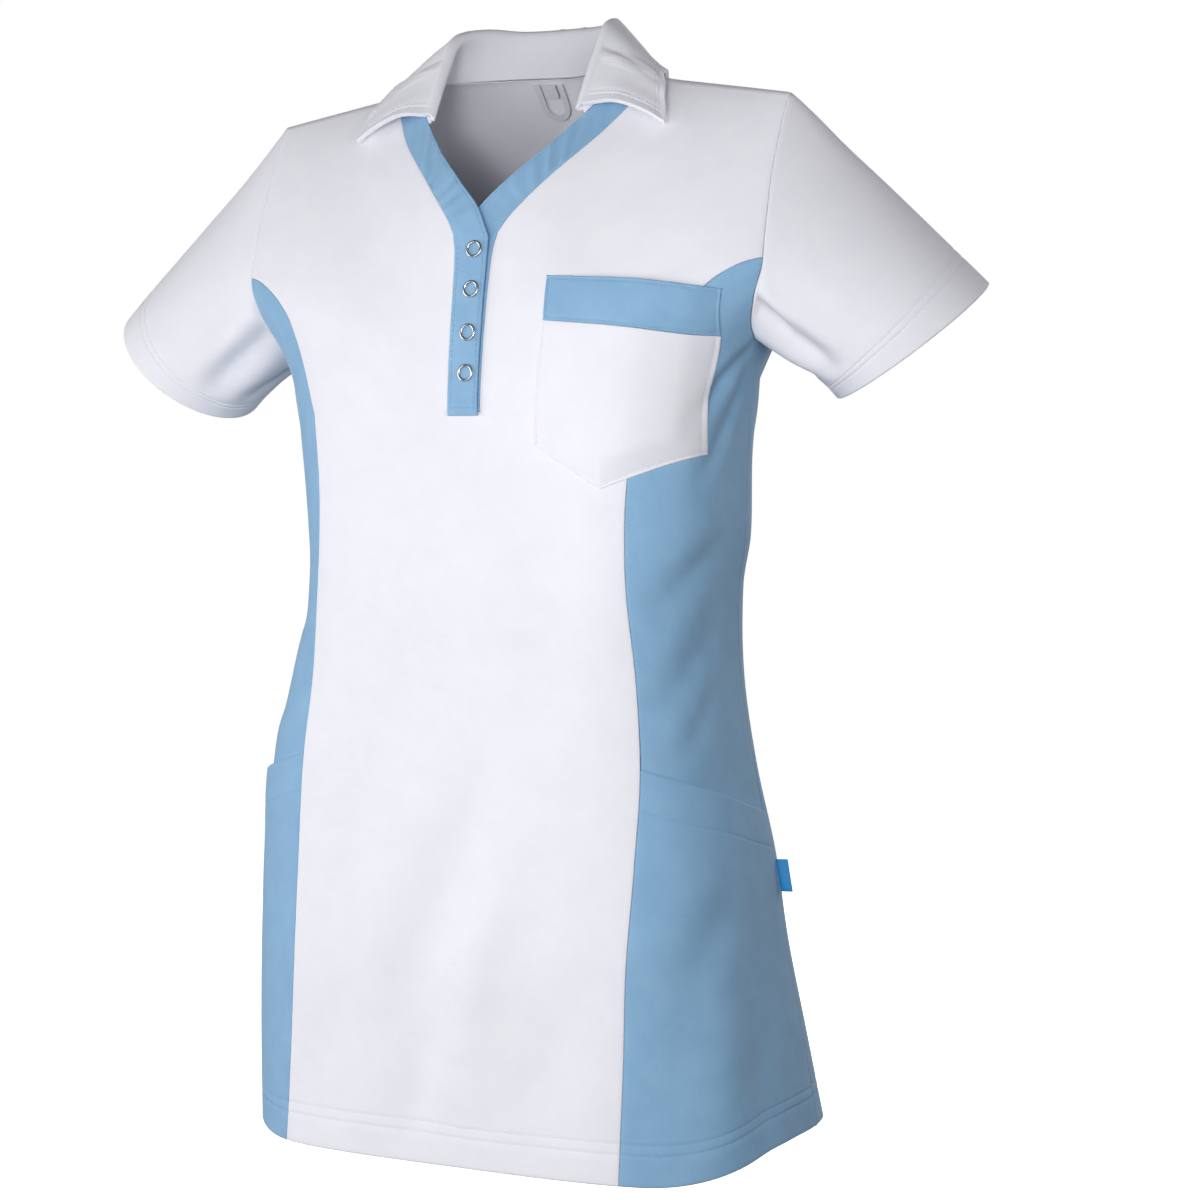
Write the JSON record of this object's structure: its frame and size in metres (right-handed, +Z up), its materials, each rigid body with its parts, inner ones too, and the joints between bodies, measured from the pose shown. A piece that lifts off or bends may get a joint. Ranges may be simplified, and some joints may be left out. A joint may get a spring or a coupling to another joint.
{
  "type": "polo work tunic",
  "caption": "Women's short-sleeved polo work tunic, white with blue side panels and neck band, snap placket, turned-down collar, breast pocket and slanted hip pockets, filled out as if worn.",
  "frame": {"origin": "midway between the wearer's shoulders, on the line of the shoulder seams", "axes": "+X to the wearer's left, -Y to the front, +Z up"},
  "size_m": [0.6427, 0.2773, 0.7551],
  "materials": {
    "white_knit": "fine white pique knit, matt",
    "blue_knit": "fine light blue knit, matt",
    "snap_metal": "bright nickel",
    "cyan_ribbon": "woven ribbon, left bare",
    "white_tape": "woven tape, left bare"
  },
  "bodies": {
    "root": {"front_centre": "white_knit", "back_centre": "white_knit", "sleeve_left": "white_knit", "sleeve_right": "white_knit", "collar": "white_knit", "breast_pocket": "white_knit", "front_side_right": "blue_knit", "front_side_left": "blue_knit", "back_side_right": "blue_knit", "back_side_left": "blue_knit", "band_right": "blue_knit", "band_left": "blue_knit", "breast_pocket_band": "blue_knit", "hip_pocket_right": "blue_knit", "hip_pocket_left": "blue_knit", "snap_1": "snap_metal", "snap_2": "snap_metal", "snap_3": "snap_metal", "snap_4": "snap_metal", "side_label": "cyan_ribbon", "hanger_loop": "white_tape", "size_label": "white_tape"}
  },
  "joints": []
}
